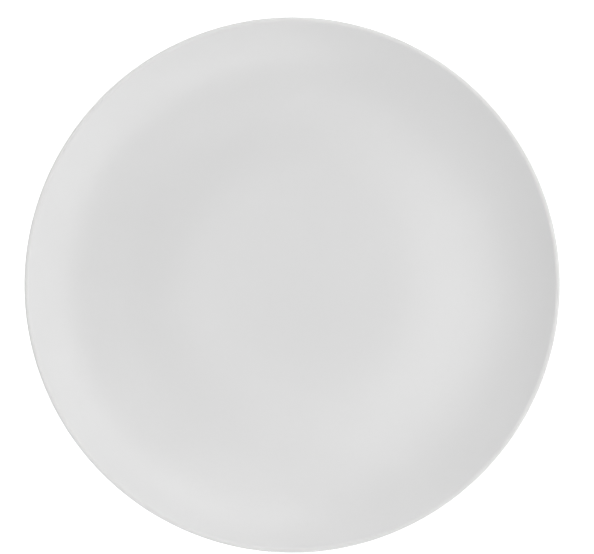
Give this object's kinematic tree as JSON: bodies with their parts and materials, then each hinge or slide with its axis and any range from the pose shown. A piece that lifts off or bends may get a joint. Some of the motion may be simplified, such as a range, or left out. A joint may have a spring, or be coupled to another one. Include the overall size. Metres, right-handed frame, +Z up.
{
  "type": "soup plate",
  "caption": "Round rimless porcelain soup plate: a flat floor, a wall that sweeps up to a thin rounded lip, and a low foot ring, in plain white satin glaze.",
  "frame": {"origin": "middle of the foot ring's seat, on the table", "axes": "+Z up along the plate's axis; the plate is round, so +X and +Y are any two directions across it"},
  "size_m": [0.23, 0.23, 0.046],
  "materials": {
    "bare_porcelain": "matte, ground",
    "white_glaze": "satin"
  },
  "bodies": {
    "root": {"porcelain_body": "bare_porcelain", "glaze_coat": "white_glaze", "base_glaze": "white_glaze"}
  },
  "joints": []
}
